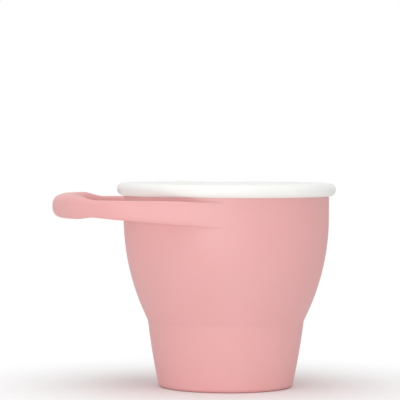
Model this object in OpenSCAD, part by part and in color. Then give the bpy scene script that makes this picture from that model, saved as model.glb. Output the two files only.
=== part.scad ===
// Collapsible snack cup for a toddler: a soft moulded cup with a loop handle, a hard collar
// on its rim, a soft insert with eight flaps in the collar, and a lid let into the crown.
// The cup stands on z = 0 with its axis on Z. The handle points along -X and the lid's tab
// along +Y.

/* [Cup] */
// Radius of the lower cup just above its foot
foot_r = 28.8; // [26:0.1:30]
// Radius of the fold ring, where the lower cup meets the bowl
knee_r = 33.1; // [32:0.1:35]
// Height of the fold ring above the ground
knee_z = 28.2; // [26:0.1:32]
// Outer radius of the upright wall
wall_r = 43.6; // [42:0.1:46]
// Height at which the bowl's curve becomes upright
shoulder_z = 72; // [66:0.5:76]
// Height of the cup's top edge
cup_h = 84.2; // [82:0.1:92]
// Wall of the parts that keep their shape
cup_wall = 2.1; // [1.8:0.1:2.4]
// Wall of the band that turns over when the cup collapses
fold_t = 1.4; // [1:0.1:1.6]
// Height of the top of that band
fold_top_z = 51; // [48:0.5:54]
// Thickness of the floor
floor_t = 2.6; // [2:0.1:4]
// Radius of the outer corner at the foot
foot_round = 2.2; // [1:0.1:3]
// How far the lower cup's wall swells between the foot and the fold ring
foot_swell = 0.35; // [0:0.05:0.6]
// Radius of the inner corner round the floor
inner_round = 6; // [4:0.5:8]
// Depth of the dish under the floor
foot_dish = 0.8; // [0.3:0.1:1.2]
// Width of the ring that the cup stands on
foot_land = 5; // [3:0.5:8]

/* [Handle] */
// Distance from the cup's axis to the tip of the handle
reach = 73.2; // [70:0.2:84]
// Radius of the loop's two corners, along its outer face
corner_r = 32; // [24:0.5:34]
// Thickness of the straps
strap_t = 2.5; // [2:0.1:3.5]
// Height of the straps where they leave the cup
strap_h = 11.4; // [9:0.1:12]
// Height of the straps at the neck, before the grip
neck_h = 7.1; // [6:0.1:9]
// Height of the grip
grip_h = 9.9; // [8:0.1:12]
// Thickness of the grip
grip_t = 9.6; // [7:0.1:12]
// Distance from the bead down to the straps' middle, where they leave the cup
strap_drop = 7.2; // [6.5:0.1:9]
// Rise of the loop from the cup to the grip
loop_rise = 3; // [0:0.1:5]

/* [Collar] */
// Height of the bead that shows round the collar
ring_h = 5.5; // [4.5:0.1:7]
// How far the bead stands out from the cup's wall
ring_over = 2.9; // [2:0.1:4]
// Depth of the cup's rim inside the bead
rim_grip = 3.1; // [2:0.1:3.4]
// Clearance on each side of a fitted wall
fit_gap = 0.15; // [0.1:0.01:0.2]
// Clearance under a piece that rests on another
seat_gap = 0.05; // [0.02:0.01:0.1]
// Wall of the skirt inside the cup
skirt_t = 2; // [1.6:0.1:2.6]
// Length of the skirt below the bead
skirt_len = 5.6; // [5:0.1:7]
// Width of the bead's flat crown, outside the lid
crown_w = 2.2; // [1.8:0.1:2.8]
// Width of the ledge under the lid
ledge_w = 2.4; // [2:0.1:3]
// Thickness of that ledge
ledge_t = 2.2; // [1.5:0.1:2.6]
// How far the lip that holds the insert stands in
lip_w = 0.8; // [0.4:0.1:1.2]

/* [Flap insert] */
// Number of flaps
flap_n = 8; // [6:1:10]
// Width of the web from the insert's edge to the line where each flap bends
web_w = 5; // [3:0.1:8]
// Thickness of the flaps
flap_t = 1.2; // [0.8:0.1:1.4]
// Width of the slits between the flaps
slit_w = 0.5; // [0.3:0.1:1]
// Radius of the hole where the slits meet
vent_r = 1.6; // [1:0.1:3]
// Radius of the round holes that end the slits, so that they don't tear
relief_r = 1.4; // [1.3:0.1:2]
// Thickness of the insert's edge, held in the collar
edge_t = 2.6; // [2:0.1:3]
// Width of that edge
edge_w = 3.2; // [2.5:0.1:4]

/* [Lid] */
// Thickness of the lid's rim
lid_t = 2; // [1.7:0.1:2.1]
// Depth of the dish in the lid's top
lid_dish = 0.7; // [0.3:0.1:0.9]
// Width of the rim round that dish
lid_rim = 6.5; // [5:0.1:9]
// How far the top of the lid lies below the crown
lid_drop = 0.2; // [0.1:0.05:0.4]
// Wall of the ring under the lid
plug_t = 1.5; // [1.2:0.1:2]
// Height of the ring under the lid
plug_h = 1.9; // [1.2:0.1:2.1]
// Width of the thumb tab
tab_w = 18; // [12:0.5:24]
// Thickness of the thumb tab
tab_t = 1.2; // [1:0.1:1.4]
// Width of the finger room under the end of the tab
tab_room = 2.2; // [1.5:0.1:3]

/* [Hidden] */
$fn = 96;

SILICONE = [0.85, 0.65, 0.65];
SOFT_FLAP = [0.88, 0.70, 0.70];
WHITE = [0.97, 0.97, 0.96];

// The bowl's outer curve is one arc, upright at shoulder_z and passing through the fold ring.
bowl_in = wall_r - knee_r;
bowl_down = shoulder_z - knee_z;
bowl_r = (bowl_in * bowl_in + bowl_down * bowl_down) / (2 * bowl_in);
bowl_cx = wall_r - bowl_r;
blend_h = 3;        // height over which a wall changes its thickness
edge_soft = 0.5;    // small rounding of a moulded edge
arc_steps = 10;

ring_z = cup_h - rim_grip;
top_z = ring_z + ring_h;
ring_mid_z = ring_z + ring_h / 2;
channel_out = wall_r + fit_gap;
channel_in = wall_r - cup_wall - fit_gap;
channel_z = cup_h + seat_gap;
bead_w = ring_over - fit_gap;
bead_r = channel_out + bead_w;
bore_r = channel_in - skirt_t;
skirt_z = ring_z - skirt_len;
seat_r = channel_out - crown_w;
ledge_r = bore_r - ledge_w;
lid_top_z = top_z - lid_drop;
lid_under_z = lid_top_z - lid_t + lid_drop;
ledge_z = lid_under_z - seat_gap;
ledge_under_z = ledge_z - ledge_t;
edge_top_z = ledge_under_z - seat_gap;
edge_z = edge_top_z - edge_t;
lip_z = edge_z - seat_gap;
lip_r = bore_r - lip_w;

edge_r = bore_r - fit_gap;
web_r = edge_r - edge_w;
hinge_r = web_r - web_w;
flap_z = edge_z + (edge_t - flap_t) / 2;
hinge_gap = 0.05;
flap_half = 180 / flap_n;

lid_r = seat_r - fit_gap;
plug_r = ledge_r - 2 * fit_gap;
dish_r = lid_r - lid_rim;
notch_z = lid_top_z - tab_t - 0.15;
notch_side = 0.3;
tab_end = 0.3;      // how far the tab stops inside the bead's outline

strap_z = ring_z - strap_drop;
grip_half = wall_r - corner_r;
bend_l = corner_r * PI / 2;
root_x = -4;        // the straps run out into the wall here
loop_l = grip_half + bend_l + reach - corner_r + root_x;
thin_from = 0.1;    // share of the corner at which the grip starts to thin
neck_from = grip_half + bend_l * 0.46;  // the grip starts to lose height here
neck_at = grip_half + bend_l * 0.72;    // and the neck is here
loop_rings = 76;
loop_sides = 16;
loop_seat = 0.02;

// Points of an arc, from angle a to angle b.
function arc(centre, r, a, b, n = 6) =
    [for (i = [0:n]) let (t = a + (b - a) * i / n) centre + r * [cos(t), sin(t)]];

// Points of an upright ellipse's arc, with half axes w and h.
function oval(centre, w, h, a, b, n = 16) =
    [for (i = [0:n]) let (t = a + (b - a) * i / n) centre + [w * cos(t), h * sin(t)]];

// Radius of the bowl at height z, t inside its outer face.
function bowl(z, t = 0) = let (r = bowl_r - t, d = min(0, z - shoulder_z))
    bowl_cx + sqrt(r * r - d * d);

// Points of the bowl's curve from height a to height b, t inside its outer face.
function bowl_line(a, b, t = 0, n = arc_steps) =
    [for (i = [0:n]) let (z = a + (b - a) * i / n) [bowl(z, t), z]];

// Point of the lower cup's outer face, from the foot (u = 0) to the fold ring (u = 1).
function lower_point(u) = [foot_r + (knee_r - foot_r) * u + foot_swell * 4 * u * (1 - u),
                           foot_round + (knee_z - foot_round) * u];

function smooth(x) = let (t = min(1, max(0, x))) t * t * (3 - 2 * t);
function mix(a, b, t) = a + (b - a) * t;

// The lower cup: tapered wall, rounded corners, and a dished foot.
module base_cup() {
    wall_in = cup_wall;
    foot_in = foot_r - cup_wall - inner_round;
    color(SILICONE) rotate_extrude() polygon(concat(
        [[0, foot_dish], [foot_r - foot_land - 2, foot_dish], [foot_r - foot_land, 0]],
        arc([foot_r - foot_round, foot_round], foot_round, -90, -12),
        [for (i = [1:8]) lower_point(i / 8)],
        [[bowl(knee_z, fold_t), knee_z],
         [knee_r - wall_in, knee_z - blend_h]],
        arc([foot_in, floor_t + inner_round], inner_round, -8, -90, 8),
        [[0, floor_t]]
    ));
}

// The thin band of the bowl that turns over on itself when the cup is pushed flat.
module fold_wall() {
    color(SILICONE) rotate_extrude() polygon(concat(
        bowl_line(knee_z, fold_top_z),
        bowl_line(fold_top_z, knee_z, fold_t)
    ));
}

// The upright wall, with the rim that the collar sits on.
module upper_cup() {
    color(SILICONE) rotate_extrude() polygon(concat(
        bowl_line(fold_top_z, shoulder_z, 0, 8),
        [[wall_r, cup_h - edge_soft], [wall_r - edge_soft, cup_h],
         [wall_r - cup_wall + edge_soft, cup_h], [wall_r - cup_wall, cup_h - edge_soft]],
        bowl_line(shoulder_z, fold_top_z + blend_h, cup_wall, 8),
        [[bowl(fold_top_z, fold_t), fold_top_z]]
    ));
}

// The loop's outer face, seen from above, at distance d along it from the middle of the
// grip: how far it has turned, and the point. It is straight, then a corner, then straight.
function loop_turn(d) = min(90, max(0, (d - grip_half) / corner_r * 180 / PI));
function loop_point(d) = let (t = loop_turn(d), past = max(0, d - grip_half - bend_l))
    [-reach + corner_r * (1 - cos(t)) + past, min(d, grip_half) + corner_r * sin(t)];

// The loop's section at distance d: thickness, height, middle, and squareness.
function loop_section(d) =
    let (thin = smooth((d - grip_half - bend_l * thin_from) / (bend_l * (1 - thin_from))),
         low = smooth((d - neck_from) / (neck_at - neck_from)),
         u = max(0, d - neck_at) / (loop_l - neck_at),
         fall = max(0, d - neck_from) / (loop_l - neck_from))
    [mix(grip_t, strap_t, thin), mix(grip_h, mix(neck_h, strap_h, u), low),
     strap_z + loop_rise * (1 - fall), mix(2.4, 4, low)];

// Thickness of the loop at distance d. Near the cup its inner face lies on the cup's wall.
function loop_thickness(p, d, t) = d < grip_half + bend_l ? t
    : min(t, p[1] - sqrt(pow(wall_r + loop_seat, 2) - pow(min(0, p[0]), 2)));

// One ring of the loop, at distance s from the middle of the grip.
function loop_ring(s) =
    let (d = abs(s), side = s < 0 ? -1 : 1, p = loop_point(d), t = loop_turn(d),
         q = loop_section(d), half = loop_thickness(p, d, q[0]) / 2)
    [for (k = [0:loop_sides - 1])
        let (a = -360 * (k + 0.5) / loop_sides,
             out = half * (sign(cos(a)) * pow(abs(cos(a)), 2 / q[3]) - 1),
             up = q[1] / 2 * sign(sin(a)) * pow(abs(sin(a)), 2 / q[3]))
        [p[0] - out * cos(t), side * (p[1] + out * sin(t)), q[2] + up]];

// The loop handle: two flat straps that leave the wall at a tangent, narrow to a neck,
// and swell into a rounded grip.
module handle() {
    rings = [for (i = [0:loop_rings - 1]) loop_ring(loop_l * (2 * i / (loop_rings - 1) - 1))];
    last = (loop_rings - 1) * loop_sides;
    color(SILICONE) polyhedron(
        points = [for (r = rings) each r],
        faces = concat(
            [for (i = [0:loop_rings - 2], k = [0:loop_sides - 1])
                let (a = i * loop_sides + k, b = i * loop_sides + (k + 1) % loop_sides)
                each [[a, b, b + loop_sides], [a, b + loop_sides, a + loop_sides]]],
            [[for (k = [loop_sides - 1:-1:0]) k]],
            [[for (k = [0:loop_sides - 1]) last + k]]
        )
    );
}

// Outline of the bead, used by the collar and by the end of the lid's tab.
function bead(less = 0) = oval([channel_out, ring_mid_z], bead_w - less, ring_h / 2, -90, 90);

// The space round the lid's tab, cut out of the collar's crown, and finger room below it.
module tab_notch() {
    half = tab_w / 2 + notch_side;
    translate([-half, seat_r - 1, notch_z]) cube([2 * half, bead_r - seat_r + 2, ring_h]);
    translate([-half, bead_r - tab_room, ring_mid_z]) cube([2 * half, tab_room + 1, ring_h]);
}

// The collar: a round bead outside the rim, a skirt inside it, a ledge for the lid,
// and a lip that holds the flap insert.
module collar() {
    color(WHITE) difference() {
        rotate_extrude() polygon(concat(
            [[bore_r + edge_soft, skirt_z], [channel_in - edge_soft, skirt_z],
             [channel_in, skirt_z + 2 * edge_soft],
             [channel_in, channel_z], [channel_out, channel_z]],
            bead(),
            arc([seat_r + edge_soft, top_z - edge_soft], edge_soft, 90, 180, 4),
            [[seat_r, ledge_z], [ledge_r + 0.3, ledge_z], [ledge_r, ledge_z - 0.3],
             [ledge_r, ledge_under_z], [bore_r, ledge_under_z], [bore_r, lip_z],
             [lip_r, lip_z], [lip_r, lip_z - lip_w], [bore_r, lip_z - 2.5 * lip_w],
             [bore_r, skirt_z + edge_soft]]
        ));
        tab_notch();
    }
}

// The insert's edge and the web outside the flaps.
module flap_insert() {
    color(SOFT_FLAP) difference() {
        rotate_extrude() polygon([
            [hinge_r - 2, flap_z], [web_r - edge_soft, flap_z], [web_r, edge_z],
            [edge_r - edge_soft, edge_z], [edge_r, edge_z + edge_soft],
            [edge_r, edge_top_z - edge_soft], [edge_r - edge_soft, edge_top_z],
            [web_r, edge_top_z], [web_r - edge_soft, flap_z + flap_t],
            [hinge_r - 2, flap_z + flap_t]
        ]);
        translate([0, 0, flap_z - 1]) linear_extrude(flap_t + 2) {
            flap_star(hinge_r + hinge_gap);
            relief_holes();
        }
    }
}

// A regular outline whose sides lie at distance r from the axis, one for each flap.
module flap_star(r) {
    polygon([for (i = [0:flap_n - 1]) r / cos(flap_half) * [cos(2 * flap_half * i), sin(2 * flap_half * i)]]);
}

// The round holes at the outer ends of the slits.
module relief_holes() {
    for (i = [0:flap_n - 1]) rotate(2 * flap_half * i)
        translate([hinge_r / cos(flap_half), 0]) circle(relief_r, $fn = 32);
}

// One flap, shut, with its root on the bending line and its tip at the vent.
module flap(i) {
    root = hinge_r - hinge_gap;
    cut = slit_w / 2 / sin(flap_half);
    half_root = (root - cut) * tan(flap_half);
    tip = max(vent_r, cut + 0.3);
    color(SOFT_FLAP) translate([0, 0, flap_z]) linear_extrude(flap_t) difference() {
        rotate(flap_half * (2 * i - 1)) polygon([
            [root, half_root], [tip, (tip - cut) * tan(flap_half)],
            [tip, -(tip - cut) * tan(flap_half)], [root, -half_root]
        ]);
        relief_holes();
    }
}

// The lid: a dished disc let into the crown, a locating ring below it, and a thumb tab.
module lid() {
    color(WHITE) union() {
        rotate_extrude() polygon(concat(
            [[0, lid_under_z], [plug_r - plug_t, lid_under_z],
             [plug_r - plug_t, lid_under_z - plug_h + 0.3], [plug_r - plug_t + 0.3, lid_under_z - plug_h],
             [plug_r - 0.4, lid_under_z - plug_h], [plug_r, lid_under_z - plug_h + 0.6],
             [plug_r, lid_under_z], [lid_r, lid_under_z]],
            arc([lid_r - edge_soft, lid_top_z - edge_soft], edge_soft, 0, 90, 4),
            [[dish_r + 2, lid_top_z], [dish_r, lid_top_z - lid_dish], [0, lid_top_z - lid_dish]]
        ));
        intersection() {
            rotate_extrude() polygon(concat(
                [[lid_r - 1, ring_z], [channel_out, ring_z]],
                bead(tab_end),
                [[lid_r - 1, top_z]]
            ));
            translate([-tab_w / 2, 0, lid_top_z - tab_t]) cube([tab_w, bead_r, tab_t]);
        }
    }
}

base_cup();
fold_wall();
upper_cup();
handle();
collar();
flap_insert();
lid();
for (i = [1:flap_n]) flap(i);
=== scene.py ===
"""A collapsible snack cup for a toddler, dressed round its CAD frame.

The cup is one silicone moulding with a loop handle. A hard white collar sits on its rim and
holds a soft insert with eight flaps, and a white lid is let into the collar's crown.
Everything is in metres, in the frame of the CAD model: the cup stands on z = 0 with its axis
on Z, the handle points along -X and the lid's tab along +Y.
"""

from math import atan, atan2, cos, pi, radians, sin, sqrt, tan

import bmesh
import bpy
from mathutils import Matrix, Vector


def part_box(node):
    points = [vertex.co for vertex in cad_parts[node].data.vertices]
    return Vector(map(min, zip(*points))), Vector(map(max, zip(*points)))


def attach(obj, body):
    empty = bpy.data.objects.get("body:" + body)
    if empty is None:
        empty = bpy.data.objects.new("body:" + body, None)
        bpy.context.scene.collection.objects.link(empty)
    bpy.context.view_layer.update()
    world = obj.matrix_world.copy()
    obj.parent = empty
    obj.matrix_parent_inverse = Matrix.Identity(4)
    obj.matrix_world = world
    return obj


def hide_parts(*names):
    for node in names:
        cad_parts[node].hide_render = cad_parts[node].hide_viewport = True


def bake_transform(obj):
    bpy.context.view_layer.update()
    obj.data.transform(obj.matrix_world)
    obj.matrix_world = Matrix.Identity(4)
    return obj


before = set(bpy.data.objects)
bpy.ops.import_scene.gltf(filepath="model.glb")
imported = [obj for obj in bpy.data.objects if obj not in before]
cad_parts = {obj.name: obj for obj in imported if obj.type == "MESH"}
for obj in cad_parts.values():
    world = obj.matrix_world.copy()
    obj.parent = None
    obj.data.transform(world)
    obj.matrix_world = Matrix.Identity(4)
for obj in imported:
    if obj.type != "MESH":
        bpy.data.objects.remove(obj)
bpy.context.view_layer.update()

MM = 0.001

# ---------------------------------------------------------------- sizes, from the frame

KNEE_R, _, KNEE_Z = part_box("base_cup")[1]                       # the fold ring
_, _, FOLD_TOP_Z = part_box("fold_wall")[1]                       # top of the band that turns over
WALL_R, _, CUP_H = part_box("upper_cup")[1]                       # the upright wall and the rim
REACH = -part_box("handle")[0][0]                                 # the grip's outer face
(_, _, SKIRT_Z), (RING_R, _, TOP_Z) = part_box("collar")          # its skirt, its bead, its crown
(_, _, EDGE_Z), (EDGE_R, _, EDGE_TOP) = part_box("flap_insert")   # the insert's thick edge
(_, _, FLAP_Z), (_, _, FLAP_TOP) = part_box("flap_1")
LID_R, _, LID_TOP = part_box("lid")[1]

# ---------------------------------------------------------------- sizes that its boxes don't give

SHOULDER_Z = 72 * MM        # the bowl's curve is upright from here
FOOT_R = 28.8 * MM          # radius just above the foot
FOOT_ROUND = 2.2 * MM
FOOT_SWELL = 0.35 * MM      # how far the lower wall swells between its ends
FOOT_DISH = 0.8 * MM        # depth of the dish under the floor
FOOT_LAND = 5 * MM          # width of the ring that the cup stands on
DISH_SLOPE = 3 * MM         # the dish deepens over this width
FLOOR_T = 2.6 * MM
WALL_T, FOLD_T = 2.1 * MM, 1.4 * MM
THIN_H = 4 * MM             # the wall thins to the band over this height
WALL_LEAN = 1.04            # a leaning wall is this much thicker when measured level
INNER_ROUND = 6 * MM
KINK_FILL = 0.25 * MM       # how far the kink at the fold ring is filled
KINK_TOP = KNEE_Z + 2 * MM  # the fill has run out here
RIM_GRIP = 3.1 * MM         # depth of the rim inside the bead
RING_Z = CUP_H - RIM_GRIP
RING_H = TOP_Z - RING_Z
FIT = 0.15 * MM             # clearance of a fitted wall
SEAT = 0.05 * MM            # clearance of a face that rests on another
ROUND = 0.5 * MM            # edges of the rim, the collar's crown and the lid
BEVEL = 0.2 * MM            # the other edges of the white mouldings
OVERCUT = 1 * MM            # a cutter runs this far past what it cuts

AROUND = 144                # steps of a full turn
SHARP = 32                  # an edge that turns by more degrees than this is a hard one
CLOSE = 0.001 * MM          # points nearer than this are one
SLIVER = 0.005 * MM         # what a cut leaves that is narrower than this is closed up
FLAPS = 8
FLAP_HALF = pi / FLAPS      # half the angle of a flap


# ---------------------------------------------------------------- curves and outlines

def mix(a, b, t):
    return a + (b - a) * t


def smooth(x):
    """Rises from 0 to 1 with a level start and end."""
    t = min(1, max(0, x))
    return t * t * (3 - 2 * t)


def spread(start, end, steps):
    """Numbers at even steps from start to end."""
    return [mix(start, end, i / steps) for i in range(steps + 1)]


def arc(centre, radius, start, end, steps):
    """Points of an arc between two angles in degrees."""
    angles = [radians(a) for a in spread(start, end, steps)]
    return [(centre[0] + radius * cos(a), centre[1] + radius * sin(a)) for a in angles]


def rounded(corners):
    """A closed outline with its corners rounded: each corner is (x, y, radius)."""
    points = []
    for i, (x, y, radius) in enumerate(corners):
        if radius <= 0:
            points.append((x, y))
            continue
        here = Vector((x, y))
        before = Vector(corners[i - 1][:2]) - here
        after = Vector(corners[(i + 1) % len(corners)][:2]) - here
        reach = min(radius / tan(before.angle(after) / 2), before.length / 2, after.length / 2)
        start, end = here + before.normalized() * reach, here + after.normalized() * reach
        points += [tuple(start.lerp(here, t).lerp(here.lerp(end, t), t)) for t in spread(0, 1, 4)]
    return points


# ---------------------------------------------------------------- meshes

def finished(name, bm, sharp=SHARP):
    """The piece made of a bmesh, smooth but for edges that turn by more than sharp degrees."""
    for face in bm.faces:
        face.smooth = True
    for edge in bm.edges:
        edge.smooth = not (edge.is_manifold and edge.calc_face_angle() > radians(sharp))
    mesh = bpy.data.meshes.new(name)
    bm.to_mesh(mesh)
    bm.free()
    piece = bpy.data.objects.new(name, mesh)
    bpy.context.scene.collection.objects.link(piece)
    return piece


def turned(profile):
    """A bmesh turned round the axis from (radius, height) points. The outline is closed, along
    the axis if it starts there."""
    bm = bmesh.new()
    line = [bm.verts.new((r, 0, z)) for r, z in profile]
    edges = [bm.edges.new(pair) for pair in zip(line, line[1:])]
    if profile[0][0] > CLOSE:
        edges.append(bm.edges.new((line[-1], line[0])))
    bmesh.ops.spin(bm, geom=line + edges, cent=(0, 0, 0), axis=(0, 0, 1), dvec=(0, 0, 0),
                   angle=2 * pi, steps=AROUND, use_merge=True, use_duplicate=False)
    bmesh.ops.remove_doubles(bm, verts=bm.verts, dist=CLOSE)
    bmesh.ops.dissolve_degenerate(bm, dist=CLOSE / 10, edges=bm.edges)
    bmesh.ops.recalc_face_normals(bm, faces=bm.faces)
    return bm


def verts_in(geometry):
    """The vertices in what an extrude returns."""
    return [g for g in geometry if isinstance(g, bmesh.types.BMVert)]


def box_cutter(low, high):
    """A block between two corners."""
    bm = bmesh.new()
    bmesh.ops.create_cube(bm, size=1)
    size = Vector(high) - Vector(low)
    bmesh.ops.scale(bm, vec=size, verts=bm.verts)
    bmesh.ops.translate(bm, vec=Vector(low) + size / 2, verts=bm.verts)
    return finished("cutter", bm)


def pin_cutter(radius, sides, place):
    """An upright pin, or a prism of few sides, through the insert at a place."""
    bm = bmesh.new()
    bmesh.ops.create_cone(bm, cap_ends=True, segments=sides, radius1=radius, radius2=radius,
                          depth=8 * MM)
    bmesh.ops.translate(bm, vec=place, verts=bm.verts)
    return finished("cutter", bm)


def boolean(piece, other, operation):
    """Cuts other from the piece, or joins it on, and removes other."""
    change = piece.modifiers.new(operation.title(), "BOOLEAN")
    change.operation = operation
    change.solver = "MANIFOLD"      # it gives the same mesh each run
    change.object = other
    shown = piece.evaluated_get(bpy.context.evaluated_depsgraph_get())
    mesh = bpy.data.meshes.new_from_object(shown)
    piece.modifiers.clear()
    piece.data = mesh
    bpy.data.objects.remove(other)
    bm = bmesh.new()
    bm.from_mesh(mesh)
    bmesh.ops.remove_doubles(bm, verts=bm.verts, dist=SLIVER)
    bmesh.ops.dissolve_degenerate(bm, dist=SLIVER, edges=bm.edges)
    bm.to_mesh(mesh)
    bm.free()


def soft_edges(piece):
    """Rounds the piece's sharp edges and keeps its flat faces flat."""
    bevel = piece.modifiers.new("Edges", "BEVEL")
    bevel.width, bevel.segments = BEVEL, 3
    bevel.limit_method, bevel.angle_limit = "ANGLE", radians(35)
    bevel.harden_normals = True


# ---------------------------------------------------------------- materials

def linear(hex_colour):
    """An sRGB hex colour as Blender's linear red, green, blue and alpha."""
    parts = [int(hex_colour[i:i + 2], 16) / 255 for i in (1, 3, 5)]
    return [p / 12.92 if p <= 0.04045 else ((p + 0.055) / 1.055) ** 2.4 for p in parts] + [1]


def add(tree, kind, values=None, links=None, **settings):
    """Adds a node: settings are its properties, values its sockets, links what feeds them."""
    node = tree.nodes.new(kind)
    for key, value in settings.items():
        setattr(node, key, value)
    for key, value in (values or {}).items():
        node.inputs[key].default_value = value
    for key, (source, socket) in (links or {}).items():
        tree.links.new(source.outputs[socket], node.inputs[key])
    return node


def new_material(name):
    material = bpy.data.materials.new(name)
    material.use_nodes = True
    material.node_tree.nodes.clear()
    return material, material.node_tree


def patchy(tree, place, size, light, deep):
    """Two close tints in soft patches of a size, as a pigment spreads in a moulding."""
    cloud = add(tree, "ShaderNodeTexNoise", {"Scale": 1 / size, "Detail": 2, "Roughness": 0.5},
                {"Vector": (place, "Object")})
    ramp = add(tree, "ShaderNodeValToRGB", links={"Fac": (cloud, "Fac")})
    for stop, position, tint in zip(ramp.color_ramp.elements, (0.3, 0.7), (deep, light)):
        stop.position, stop.color = position, linear(tint)
    return ramp


def moulded_silicone(name, light, deep, glow):
    """Platinum silicone, compression moulded in a blasted tool: a soft, dull, slightly dusty
    face with a trace of light inside it, and no gloss but at a grazing view."""
    material, tree = new_material(name)
    place = add(tree, "ShaderNodeTexCoord")
    tint = patchy(tree, place, 38 * MM, light, deep)
    # The blasted tool leaves a grain of about 0.3 mm.
    grain = add(tree, "ShaderNodeTexNoise", {"Scale": 1 / (0.3 * MM), "Detail": 3, "Roughness": 0.6},
                {"Vector": (place, "Object")})
    dull = add(tree, "ShaderNodeMapRange", {"To Min": 0.44, "To Max": 0.52}, {"Value": (grain, "Fac")})
    bump = add(tree, "ShaderNodeBump", {"Strength": 0.12, "Distance": 0.05 * MM},
               {"Height": (grain, "Fac")})
    shader = add(tree, "ShaderNodeBsdfPrincipled",
                 {"IOR": 1.41, "Subsurface Weight": glow, "Subsurface Scale": 1.0,
                  "Subsurface Radius": (3.2 * MM, 1.3 * MM, 1.0 * MM)},
                 {"Base Color": (tint, "Color"), "Roughness": (dull, "Result"),
                  "Normal": (bump, "Normal")})
    add(tree, "ShaderNodeOutputMaterial", links={"Surface": (shader, "BSDF")})
    return material


def moulded_plastic(name, light, deep):
    """Polypropylene, injection moulded in a satin tool: clean edges, a low soft gloss and a
    very fine skin."""
    material, tree = new_material(name)
    place = add(tree, "ShaderNodeTexCoord")
    tint = patchy(tree, place, 25 * MM, light, deep)
    # A satin tool leaves a skin of about 0.2 mm.
    skin = add(tree, "ShaderNodeTexNoise", {"Scale": 1 / (0.2 * MM), "Detail": 2, "Roughness": 0.5},
               {"Vector": (place, "Object")})
    gloss = add(tree, "ShaderNodeMapRange", {"To Min": 0.42, "To Max": 0.52}, {"Value": (skin, "Fac")})
    bump = add(tree, "ShaderNodeBump", {"Strength": 0.05, "Distance": 0.02 * MM},
               {"Height": (skin, "Fac")})
    shader = add(tree, "ShaderNodeBsdfPrincipled",
                 {"IOR": 1.49, "Subsurface Weight": 0.3, "Subsurface Scale": 1.0,
                  "Subsurface Radius": (1.5 * MM, 1.4 * MM, 1.2 * MM)},
                 {"Base Color": (tint, "Color"), "Roughness": (gloss, "Result"),
                  "Normal": (bump, "Normal")})
    add(tree, "ShaderNodeOutputMaterial", links={"Surface": (shader, "BSDF")})
    return material


CUP_SILICONE = moulded_silicone("cup silicone", "#ebb1b0", "#e9adac", 0.2)
FLAP_SILICONE = moulded_silicone("flap silicone", "#ecb6b4", "#e9b1af", 0.3)
WHITE_PLASTIC = moulded_plastic("white polypropylene", "#f7f7f4", "#f5f5f2")


def dressed(piece, material, slot, body, *nodes):
    """Gives a piece its material, the body it rides on, if it has but one, and the CAD nodes
    that it stands for."""
    piece.data.materials.clear()
    piece.data.materials.append(material)
    if body:
        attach(piece, body)
    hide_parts(*nodes)


# ---------------------------------------------------------------- the cup

BOWL_IN, BOWL_DOWN = WALL_R - KNEE_R, SHOULDER_Z - KNEE_Z
BOWL_R = (BOWL_IN ** 2 + BOWL_DOWN ** 2) / (2 * BOWL_IN)
KINK_ROWS = (-0.9, -0.6, -0.3, 0, 0.3, 0.6, 0.9, 1.3, 1.8, 2.4)    # in mm from the fold ring


def bowl(z):
    """Radius of the bowl's face at height z."""
    return WALL_R - BOWL_R + sqrt(BOWL_R ** 2 - min(0, z - SHOULDER_Z) ** 2)


def outer(z):
    """Radius of the cup's outer face: a tapered wall, a rounded kink, then the bowl."""
    if z > KINK_TOP:
        return bowl(z)
    up = (z - FOOT_ROUND) / (KNEE_Z - FOOT_ROUND)
    lower = mix(FOOT_R, KNEE_R, up) + FOOT_SWELL * 4 * up * (1 - up)
    return (lower + bowl(z) + sqrt((bowl(z) - lower) ** 2 + KINK_FILL ** 2)) / 2


def inner(z):
    """Radius of the cup's inner face. The wall thins into the band that turns over."""
    low = smooth((z - KNEE_Z + THIN_H) / THIN_H)
    high = smooth((z - FOLD_TOP_Z) / THIN_H)
    return outer(z) - mix(WALL_T, FOLD_T, low - high) * WALL_LEAN


def cup_profile():
    """The cup's section, from the middle of the floor's underside, out and up to the rim, and
    down its inside to the middle of the floor."""
    land, rim = FOOT_R - FOOT_LAND, CUP_H - ROUND
    corner_z = FLOOR_T + INNER_ROUND
    corner_r = inner(corner_z) - INNER_ROUND
    up = spread(FOOT_ROUND, KNEE_Z, 15)[1:-1] + [KNEE_Z + d * MM for d in KINK_ROWS]
    up += spread(up[-1], rim, 46)[1:]
    down = spread(rim, KNEE_Z, 48)[1:] + spread(KNEE_Z, corner_z, 12)[1:-1]
    points = [(0, FOOT_DISH), (land / 2, FOOT_DISH)]
    points += [(land - DISH_SLOPE * (1 - t), FOOT_DISH * (1 - smooth(t))) for t in spread(0, 1, 4)]
    points += arc((FOOT_R - FOOT_ROUND, FOOT_ROUND), FOOT_ROUND, -90, -9, 8)
    points += [(outer(z), z) for z in up]
    points += arc((WALL_R - ROUND, rim), ROUND, 30, 90, 2)
    points += arc((WALL_R - WALL_T + ROUND, rim), ROUND, 90, 180, 3)
    points += [(inner(z), z) for z in down]
    points += arc((corner_r, corner_z), INNER_ROUND, -2, -90, 9)
    return points + [(corner_r / 2, FLOOR_T), (0, FLOOR_T)]


def make_cup():
    cup = finished("cup_body", turned(cup_profile()), sharp=50)
    dressed(cup, CUP_SILICONE, "cup_silicone", None, "base_cup", "fold_wall", "upper_cup")
    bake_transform(cup)


# ---------------------------------------------------------------- the loop handle

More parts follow.
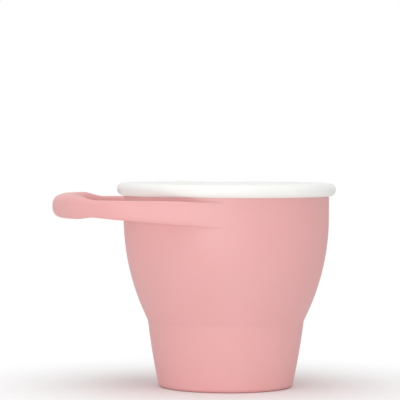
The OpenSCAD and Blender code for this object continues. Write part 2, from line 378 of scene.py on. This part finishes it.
CORNER_R = 32 * MM                  # outer face of the loop's corners
GRIP_T, GRIP_H = 9.6 * MM, 9.9 * MM
STRAP_T, STRAP_H, NECK_H = 2.5 * MM, 11.4 * MM, 7.1 * MM
STRAP_Z = RING_Z - 7.2 * MM
LOOP_RISE = 3 * MM                  # the grip is this much higher than the straps' ends
ROOT_X = 1 * MM                     # the straps end here, just under the wall's face
GRIP_HALF = WALL_R - CORNER_R
BEND_L = CORNER_R * pi / 2
LOOP_L = GRIP_HALF + BEND_L + REACH - CORNER_R + ROOT_X
THIN_FROM = GRIP_HALF + 0.1 * BEND_L
NECK_FROM, NECK_AT = GRIP_HALF + 0.46 * BEND_L, GRIP_HALF + 0.72 * BEND_L
SINK, SINK_L = 0.03 * MM, 7 * MM    # the straps' outer face sinks into the wall at their ends
WEDGE = 3 * MM                      # reach of the fillet between a strap's inner face and the wall
# How square a section is: 2 is an ellipse. The straps get crisp over the last stretch.
GRIP_SQUARE, STRAP_SQUARE, ROOT_SQUARE = 2.4, 3.4, 9
CRISP_X, CRISP_L = -2 * MM, 14 * MM
LOOP_RINGS, LOOP_SIDES = 150, 28


def wedge_fill(x):
    """How much a strap thickens inward at x, so that a fillet joins it to the wall."""
    if x < -WALL_R:
        return 0
    gap = WALL_R - STRAP_T - sqrt(WALL_R ** 2 - min(0, x) ** 2)
    return WEDGE / 4 * max(0, 1 - abs(gap) / WEDGE) ** 2


def squared(wave, power):
    """A sine or cosine pushed out towards a square."""
    return abs(wave) ** (2 / power) * (1 if wave > 0 else -1)


def loop_ring(s):
    """One section of the loop, at distance s along its outer face from the grip's middle."""
    d, side = abs(s), -1 if s < 0 else 1
    turn = min(pi / 2, max(0, (d - GRIP_HALF) / CORNER_R))
    past = max(0, d - GRIP_HALF - BEND_L)
    x = -REACH + CORNER_R * (1 - cos(turn)) + past
    y = min(d, GRIP_HALF) + CORNER_R * sin(turn) - SINK * smooth(1 + x / SINK_L)
    thin = smooth((d - THIN_FROM) / (GRIP_HALF + BEND_L - THIN_FROM))
    low = smooth((d - NECK_FROM) / (NECK_AT - NECK_FROM))
    along = max(0, d - NECK_AT) / (LOOP_L - NECK_AT)
    fall = max(0, d - NECK_FROM) / (LOOP_L - NECK_FROM)
    crisp = smooth(1 + (x - CRISP_X) / CRISP_L)
    thickness = mix(GRIP_T, STRAP_T, thin) + (wedge_fill(x) if past else 0)
    height = mix(GRIP_H, mix(NECK_H, STRAP_H, along), low)
    middle = STRAP_Z + LOOP_RISE * (1 - fall)
    square = mix(mix(GRIP_SQUARE, STRAP_SQUARE, low), ROOT_SQUARE, crisp)
    points = []
    for k in range(LOOP_SIDES):
        a = -2 * pi * (k + 0.5) / LOOP_SIDES
        out = thickness / 2 * (squared(cos(a), square) - 1)
        up = height / 2 * squared(sin(a), square)
        points.append(Vector((x - out * cos(turn), side * (y + out * sin(turn)), middle + up)))
    return points


def make_handle():
    """The loop, drawn out ring by ring from one end to the other."""
    bm = bmesh.new()
    ring = loop_ring(-LOOP_L)
    first = [bm.verts.new(point) for point in ring]
    edges = [bm.edges.new(pair) for pair in zip(first, first[1:] + first[:1])]
    bmesh.ops.contextual_create(bm, geom=edges)
    for s in spread(-LOOP_L, LOOP_L, LOOP_RINGS)[1:]:
        drawn = bmesh.ops.extrude_edge_only(bm, edges=edges)["geom"]
        edges = [g for g in drawn if isinstance(g, bmesh.types.BMEdge) and len(g.link_faces) == 1]
        old, ring = ring, loop_ring(s)
        for vert in verts_in(drawn):
            nearest = min(range(LOOP_SIDES), key=lambda k: (old[k] - vert.co).length_squared)
            vert.co = ring[nearest]
    bmesh.ops.contextual_create(bm, geom=edges)
    bmesh.ops.recalc_face_normals(bm, faces=bm.faces)
    handle = finished("loop_handle", bm, sharp=60)
    dressed(handle, CUP_SILICONE, "cup_silicone", "upper", "handle")


# ---------------------------------------------------------------- the collar

CHANNEL_OUT = WALL_R + FIT          # the channel that the rim sits in
CHANNEL_IN = WALL_R - WALL_T - FIT
BORE_R = CHANNEL_IN - 2 * MM        # inside of the skirt
SEAT_R = CHANNEL_OUT - 2.2 * MM     # wall of the seat that the lid lies in
LEDGE_R = BORE_R - 2.4 * MM         # edge of the ledge under the lid
LEDGE_T = 2.2 * MM
LID_UNDER = TOP_Z - 2 * MM
LEDGE_Z = LID_UNDER - SEAT
LIP_W = 0.8 * MM                    # the sloped lip that holds the insert from below
LEAD_W, LEAD_H = 0.6 * MM, 1 * MM   # lead-in on the skirt's outer foot
SKIRT_EASE, LEDGE_EASE = 0.4 * MM, 0.3 * MM
TAB_W, TAB_T = 18 * MM, 1.2 * MM    # the lid's thumb tab
NOTCH_SIDE = 0.3 * MM               # play beside the tab
TAB_ROOM = 2.2 * MM                 # depth of the finger room under the tab's edge


def bead(less=0.0):
    """The bead's round outline, from its foot to its crown, drawn in by less."""
    wide, half = RING_R - CHANNEL_OUT - less, RING_H / 2
    turns = [radians(a) for a in spread(-90, 90, 20)]
    return [(CHANNEL_OUT + wide * cos(a), RING_Z + half + half * sin(a)) for a in turns]


def make_collar():
    lip_z = EDGE_Z - SEAT
    profile = [(BORE_R + SKIRT_EASE, SKIRT_Z), (CHANNEL_IN - LEAD_W, SKIRT_Z),
               (CHANNEL_IN, SKIRT_Z + LEAD_H), (CHANNEL_IN, CUP_H + SEAT), (CHANNEL_OUT, CUP_H + SEAT)]
    profile += bead()
    profile += arc((SEAT_R + ROUND, TOP_Z - ROUND), ROUND, 90, 180, 5)
    profile += [(SEAT_R, LEDGE_Z), (LEDGE_R + LEDGE_EASE, LEDGE_Z), (LEDGE_R, LEDGE_Z - LEDGE_EASE),
                (LEDGE_R, LEDGE_Z - LEDGE_T), (BORE_R, LEDGE_Z - LEDGE_T), (BORE_R, lip_z),
                (BORE_R - LIP_W, lip_z), (BORE_R - LIP_W, lip_z - LIP_W),
                (BORE_R, lip_z - 2.5 * LIP_W), (BORE_R, SKIRT_Z + SKIRT_EASE)]
    collar = finished("collar_ring", turned(profile))
    half, top = TAB_W / 2 + NOTCH_SIDE, TOP_Z + OVERCUT
    notch = (-half, SEAT_R - OVERCUT, LID_TOP - TAB_T - FIT)
    finger_room = (-half, RING_R - TAB_ROOM, RING_Z + RING_H / 2)
    for low in (notch, finger_room):
        boolean(collar, box_cutter(low, (half, RING_R + OVERCUT, top)), "DIFFERENCE")
    soft_edges(collar)
    dressed(collar, WHITE_PLASTIC, "white_plastic", "collar", "collar")


# ---------------------------------------------------------------- the lid

DISH_R, DISH_EDGE, DISH_DEPTH = LID_R - 6.5 * MM, 2 * MM, 0.7 * MM
PLUG_R, PLUG_T = LEDGE_R - 2 * FIT, 1.5 * MM    # the ring under the lid that centres it
PLUG_Z = LID_UNDER - 1.9 * MM
PLUG_LEAD_W, PLUG_LEAD_H = 0.4 * MM, 0.6 * MM
TAB_ROOT_R = LID_R - 2 * MM                     # the tab runs this far into the disc
TAB_INSET = 0.3 * MM                            # and stays this far inside the bead


def make_lid():
    plug_in = PLUG_R - PLUG_T
    profile = [(0, LID_UNDER), (plug_in, LID_UNDER), (plug_in, PLUG_Z + LEDGE_EASE),
               (plug_in + LEDGE_EASE, PLUG_Z), (PLUG_R - PLUG_LEAD_W, PLUG_Z),
               (PLUG_R, PLUG_Z + PLUG_LEAD_H), (PLUG_R, LID_UNDER), (LID_R, LID_UNDER)]
    profile += arc((LID_R - ROUND, LID_TOP - ROUND), ROUND, 0, 90, 5)
    profile += [(DISH_R + DISH_EDGE * (1 - t), LID_TOP - DISH_DEPTH * smooth(t))
                for t in spread(0, 1, 5)]
    profile += [(DISH_R / 2, LID_TOP - DISH_DEPTH), (0, LID_TOP - DISH_DEPTH)]
    lid = finished("lid_disc", turned(profile))
    tab = finished("tab", turned([(TAB_ROOT_R, RING_Z)] + bead(TAB_INSET) + [(TAB_ROOT_R, TOP_Z)]))
    keep = box_cutter((-TAB_W / 2, 0, LID_TOP - TAB_T), (TAB_W / 2, RING_R, LID_TOP))
    boolean(tab, keep, "INTERSECT")
    boolean(lid, tab, "UNION")
    soft_edges(lid)
    dressed(lid, WHITE_PLASTIC, "white_plastic", "lid", "lid")


# ---------------------------------------------------------------- the flap insert

WEB_R = EDGE_R - 3.2 * MM           # the thick edge ends here
HINGE_R = WEB_R - 5 * MM            # the flaps' roots, on the sides of an octagon
WEB_IN = HINGE_R - 3 * MM           # the web's disc before the octagon is cut out
SLIT_W, RELIEF_R = 0.5 * MM, 1.4 * MM
TIP_R = 1.9 * MM                    # the flaps' tips leave a small vent
ROOT_L = 0.3 * MM                   # a flap's root runs this far into the web
ROOT_THIN = 0.3                     # and loses this share of its thickness there
FLAP_ROWS, FLAP_ACROSS = 26, 8


def make_web():
    profile = rounded([(WEB_IN, FLAP_Z, 0), (WEB_R - 0.5 * MM, FLAP_Z, 0.4 * MM),
                       (WEB_R, EDGE_Z, 0.3 * MM), (EDGE_R, EDGE_Z, 0.5 * MM),
                       (EDGE_R, EDGE_TOP, 0.5 * MM), (WEB_R, EDGE_TOP, 0.3 * MM),
                       (WEB_R - 0.5 * MM, FLAP_TOP, 0.4 * MM), (WEB_IN, FLAP_TOP, 0)])
    web = finished("flap_web", turned(profile))
    corner_r = HINGE_R / cos(FLAP_HALF)
    star = pin_cutter(corner_r, FLAPS, (0, 0, FLAP_Z))
    corner = star.data.vertices[0].co
    star.data.transform(Matrix.Rotation(-atan2(corner.y, corner.x), 4, "Z"))
    boolean(web, star, "DIFFERENCE")
    for i in range(FLAPS):
        a = 2 * FLAP_HALF * i
        place = (corner_r * cos(a), corner_r * sin(a), FLAP_Z)
        boolean(web, pin_cutter(RELIEF_R, 32, place), "DIFFERENCE")
    web.data.set_sharp_from_angle(angle=radians(SHARP))
    dressed(web, FLAP_SILICONE, "flap_silicone", "collar", "flap_insert")


def flap_half_width(r):
    """Half the width of a flap at distance r from the axis, measured to its middle line."""
    half = r * tan(FLAP_HALF) - SLIT_W / 2 / cos(FLAP_HALF)
    off = HINGE_R - r
    if off < RELIEF_R:
        half = min(half, HINGE_R * tan(FLAP_HALF) - sqrt(RELIEF_R ** 2 - off ** 2))
    return half


def make_flap(i):
    """One flap: a wedge of silicone whose root runs a little way into the web, and is thinner
    there, so that the two have no face in common."""
    bm = bmesh.new()
    bmesh.ops.create_grid(bm, x_segments=FLAP_ROWS, y_segments=FLAP_ACROSS, size=1)
    for vert in bm.verts:
        # u is 1 at the root, and the last row lies past it.
        u, v = (vert.co.x + 1) / 2 * FLAP_ROWS / (FLAP_ROWS - 1), vert.co.y
        r = mix(TIP_R, HINGE_R, u ** 0.8) if u < 1.001 else HINGE_R + ROOT_L
        vert.co = Vector((r, v * flap_half_width(min(r, HINGE_R)), FLAP_Z))
    top = bmesh.ops.extrude_face_region(bm, geom=bm.faces[:])["geom"]
    bmesh.ops.translate(bm, vec=(0, 0, FLAP_TOP - FLAP_Z), verts=verts_in(top))
    for vert in bm.verts:
        if vert.co.x > HINGE_R + ROOT_L / 2:
            vert.co.z = mix(vert.co.z, (FLAP_Z + FLAP_TOP) / 2, ROOT_THIN)
    bmesh.ops.recalc_face_normals(bm, faces=bm.faces)
    turn = FLAP_HALF * (2 * i - 1)
    bmesh.ops.rotate(bm, cent=(0, 0, 0), matrix=Matrix.Rotation(turn, 3, "Z"), verts=bm.verts)
    flap = finished(f"flap_petal_{i}", bm)
    dressed(flap, FLAP_SILICONE, "flap_silicone", None, f"flap_{i}")
    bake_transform(flap)


# ---------------------------------------------------------------- the studio

def make_floor():
    """A plain white floor. It keeps the cup's shadow, and further out the camera sees it as
    white as the background."""
    bm = bmesh.new()
    bmesh.ops.create_circle(bm, cap_ends=True, segments=64, radius=6)
    floor = finished("floor", bm)
    material, tree = new_material("studio floor")
    place = add(tree, "ShaderNodeTexCoord")
    away = add(tree, "ShaderNodeVectorMath", links={0: (place, "Object")}, operation="LENGTH")
    far = add(tree, "ShaderNodeMapRange", {"From Min": 35 * MM, "From Max": 140 * MM},
              {"Value": (away, "Value")}, interpolation_type="SMOOTHSTEP")
    path = add(tree, "ShaderNodeLightPath")
    seen = add(tree, "ShaderNodeMath", links={0: (path, "Is Camera Ray"), 1: (far, "Result")},
               operation="MULTIPLY")
    lit = add(tree, "ShaderNodeBsdfDiffuse", {"Color": linear("#fafafa")})
    white = add(tree, "ShaderNodeEmission", {"Color": linear("#ffffff"), "Strength": 1.0})
    both = add(tree, "ShaderNodeMixShader", links={0: (seen, 0), 1: (lit, 0), 2: (white, 0)})
    add(tree, "ShaderNodeOutputMaterial", links={"Surface": (both, 0)})
    floor.data.materials.append(material)


def make_world():
    """Even light from all round, and plain white where the camera or a reflection sees it."""
    world = bpy.data.worlds.new("studio")
    bpy.context.scene.world = world
    world.use_nodes = True
    tree = world.node_tree
    tree.nodes.clear()
    path = add(tree, "ShaderNodeLightPath")
    direct = add(tree, "ShaderNodeMath", operation="MAXIMUM",
                 links={0: (path, "Is Camera Ray"), 1: (path, "Is Glossy Ray")})
    seen = add(tree, "ShaderNodeMath", operation="MAXIMUM",
               links={0: (direct, 0), 1: (path, "Is Transmission Ray")})
    even = add(tree, "ShaderNodeBackground", {"Color": linear("#ffffff"), "Strength": 0.545})
    white = add(tree, "ShaderNodeBackground", {"Color": linear("#ffffff"), "Strength": 1.0})
    both = add(tree, "ShaderNodeMixShader", links={0: (seen, 0), 1: (even, 0), 2: (white, 0)})
    add(tree, "ShaderNodeOutputWorld", links={"Surface": (both, 0)})


def soft_light(name, place, target, size, power):
    """A square softbox that faces a point."""
    lamp = bpy.data.lights.new(name, "AREA")
    lamp.shape, lamp.size, lamp.energy = "SQUARE", size, power
    light = bpy.data.objects.new(name, lamp)
    light.location = place
    light.rotation_euler = (Vector(target) - Vector(place)).to_track_quat("-Z", "Y").to_euler()
    bpy.context.scene.collection.objects.link(light)


# The photograph, in pixels of a 400 pixel square: its focal length, the horizon's height and
# the cup's axis. From them and the cup's distance come the camera's place and tilt.
PICTURE, FOCAL, HORIZON, AXIS = 400, 2200, 145, 226.6
DISTANCE = 935 * MM
EYE_Z = 102.6 * MM
ROLL = radians(0.25)        # the picture leans this much to the right


def make_camera():
    data = bpy.data.cameras.new("camera")
    data.sensor_width = 36
    data.lens = data.sensor_width * FOCAL / PICTURE
    camera = bpy.data.objects.new("camera", data)
    camera.location = (-(AXIS - PICTURE / 2) * DISTANCE / FOCAL, -DISTANCE, EYE_Z)
    camera.rotation_euler = (pi / 2 - atan((PICTURE / 2 - HORIZON) / FOCAL), -ROLL, 0)
    bpy.context.scene.collection.objects.link(camera)
    bpy.context.scene.camera = camera


make_camera()
make_cup()
make_handle()
make_collar()
make_lid()
make_web()
for i in range(1, FLAPS + 1):
    make_flap(i)

make_floor()
make_world()
soft_light("front softbox", (-0.17, -1.2, 0.06), (0, 0, 0.03), 0.3, 5.8)
soft_light("top softbox", (0, -0.2, 1.3), (0, 0, TOP_Z / 2), 1.2, 6.9)

bpy.context.scene.view_settings.view_transform = "Standard"
